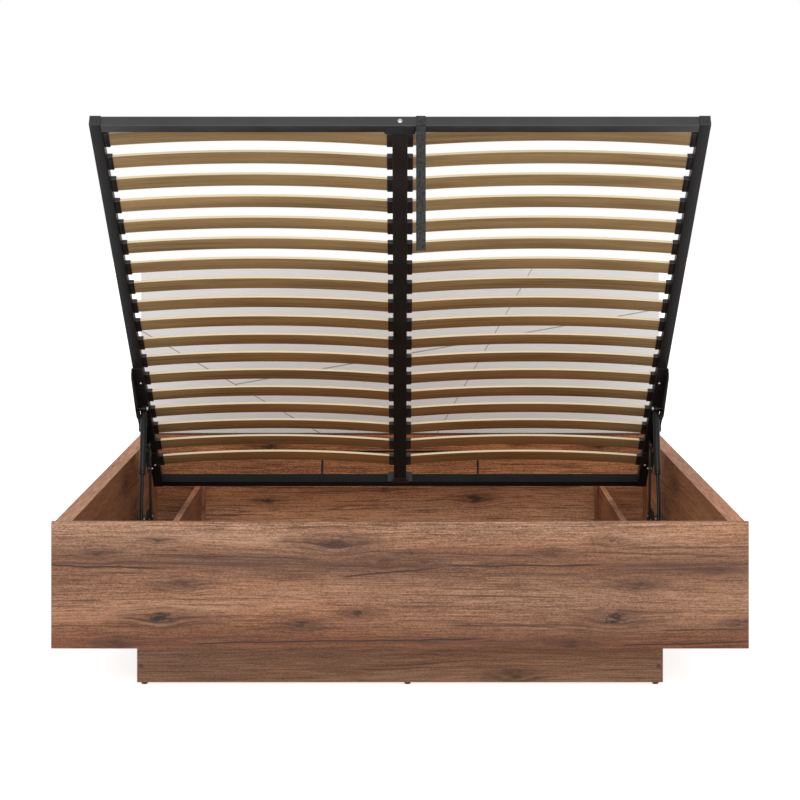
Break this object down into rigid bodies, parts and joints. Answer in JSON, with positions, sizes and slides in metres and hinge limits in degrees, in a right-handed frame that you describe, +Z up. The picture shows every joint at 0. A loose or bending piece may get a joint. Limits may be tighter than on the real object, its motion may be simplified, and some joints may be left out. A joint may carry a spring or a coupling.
{
  "type": "platform bed with lifting base",
  "caption": "Low platform bed: board box on a set-back plinth, slatted steel base raised on linkages and gas springs, storage inside, grooved headboard.",
  "frame": {"origin": "on the floor, below the middle of the whole bed's box, with the base raised", "axes": "+X to the right seen from the foot, +Y from the foot towards the headboard, +Z up"},
  "size_m": [1.8, 2.096, 1.5121],
  "materials": {
    "laminate": "matt wood-grain laminate on board",
    "laminate_inner": "matt wood-grain laminate on board",
    "headboard_panel": "satin painted board",
    "brown_caps": "brown plastic",
    "black_plastic": "black moulded plastic",
    "zinc": "zinc plated",
    "birch_ply": "clear coated bent plywood",
    "webbing": "woven webbing",
    "cylinder_paint": "dark grey paint",
    "rod_steel": "black nitrided rod",
    "black_steel": "black powder coat"
  },
  "bodies": {
    "box": {"front_board": "laminate", "side_wall_left": "laminate_inner", "side_wall_right": "laminate_inner", "rear_board": "laminate_inner", "headboard": "headboard_panel", "plinth_front": "laminate", "plinth_rear": "laminate_inner", "inner_board_left": "laminate_inner", "inner_board_right": "laminate_inner", "middle_board": "laminate_inner", "floor_left": "laminate", "floor_right": "laminate", "side_floor_left": "laminate", "side_floor_right": "laminate", "corner_battens": "laminate_inner", "screw_caps": "brown_caps", "glides": "black_plastic", "base_bracket_left": "black_steel", "base_bracket_right": "black_steel", "base_pins": "zinc", "base_screws": "zinc"},
    "lift_frame": {"side_tube_left": "black_steel", "side_tube_right": "black_steel", "foot_tube": "black_steel", "head_tube": "black_steel", "centre_beam": "black_steel", "saddle_plates": "black_steel", "tube_caps": "black_plastic", "beam_bolts": "zinc", "slats_left": "birch_ply", "slats_right": "birch_ply", "side_holders": "black_plastic", "centre_holders": "black_plastic", "mattress_stop": "black_steel", "frame_bracket_left": "black_steel", "frame_bracket_right": "black_steel", "frame_pins": "zinc", "frame_screws": "zinc", "strap_loop": "webbing"},
    "rear_link_left": {"rear_link_left": "black_steel"},
    "rear_link_right": {"rear_link_right": "black_steel"},
    "front_link_left": {"front_link_left": "black_steel"},
    "front_link_right": {"front_link_right": "black_steel"},
    "gas_cylinder_left": {"gas_cylinder_left": "cylinder_paint"},
    "gas_cylinder_right": {"gas_cylinder_right": "cylinder_paint"},
    "gas_rod_left": {"gas_rod_left": "rod_steel"},
    "gas_rod_right": {"gas_rod_right": "rod_steel"},
    "pull_strap": {"pull_strap": "webbing"}
  },
  "joints": [
    {"name": "lift", "type": "hinge", "parent": "box", "child": "rear_link_left", "pos_m": [0, 0.34926, 0.182], "axis": [-1, 0, 0], "range_deg": [0, 81.99], "stiffness_Nm_per_rad": 30, "springref_deg": -148.97},
    {"name": "frame_turn", "type": "hinge", "parent": "rear_link_left", "child": "lift_frame", "pos_m": [0, 0.3071, 0.50173], "axis": [1, 0, 0], "range_deg": [0, 117.41]},
    {"name": "rear_link_turn_right", "type": "hinge", "parent": "box", "child": "rear_link_right", "pos_m": [0, 0.34926, 0.182], "axis": [-1, 0, 0], "range_deg": [0, 82.01]},
    {"name": "front_link_turn_left", "type": "hinge", "parent": "lift_frame", "child": "front_link_left", "pos_m": [0, 0.17324, 0.57232], "axis": [-1, 0, 0], "range_deg": [0, 107.06]},
    {"name": "spring_turn_left", "type": "hinge", "parent": "lift_frame", "child": "gas_cylinder_left", "pos_m": [0, 0.09752, 0.6384], "axis": [-1, 0, 0], "range_deg": [0, 101.11]},
    {"name": "rod_slide_left", "type": "slide", "parent": "gas_cylinder_left", "child": "gas_rod_left", "axis": [0, 0.2454, 0.9694], "range_m": [0, 0.03607]},
    {"name": "front_link_turn_right", "type": "hinge", "parent": "lift_frame", "child": "front_link_right", "pos_m": [0, 0.17324, 0.57232], "axis": [-1, 0, 0], "range_deg": [0, 107.06]},
    {"name": "spring_turn_right", "type": "hinge", "parent": "lift_frame", "child": "gas_cylinder_right", "pos_m": [0, 0.09752, 0.6384], "axis": [-1, 0, 0], "range_deg": [0, 101.11]},
    {"name": "rod_slide_right", "type": "slide", "parent": "gas_cylinder_right", "child": "gas_rod_right", "axis": [0, 0.2454, 0.9694], "range_m": [0, 0.03607]},
    {"name": "strap_swing", "type": "hinge", "parent": "lift_frame", "child": "pull_strap", "pos_m": [0, -1.0443, 1.48371], "axis": [1, 0, 0], "range_deg": [0, 34.62]}
  ],
  "couplings": [
    {"joint": "frame_turn", "follows": "lift", "ratio": 1.4318},
    {"joint": "rear_link_turn_right", "follows": "lift", "ratio": 1},
    {"joint": "front_link_turn_left", "follows": "lift", "ratio": 1.3055},
    {"joint": "spring_turn_left", "follows": "lift", "ratio": 1.2329},
    {"joint": "rod_slide_left", "follows": "lift", "m_per_rad": 0.02519},
    {"joint": "front_link_turn_right", "follows": "lift", "ratio": 1.3055},
    {"joint": "spring_turn_right", "follows": "lift", "ratio": 1.2329},
    {"joint": "rod_slide_right", "follows": "lift", "m_per_rad": 0.02519},
    {"joint": "strap_swing", "follows": "lift", "ratio": 0.422}
  ]
}
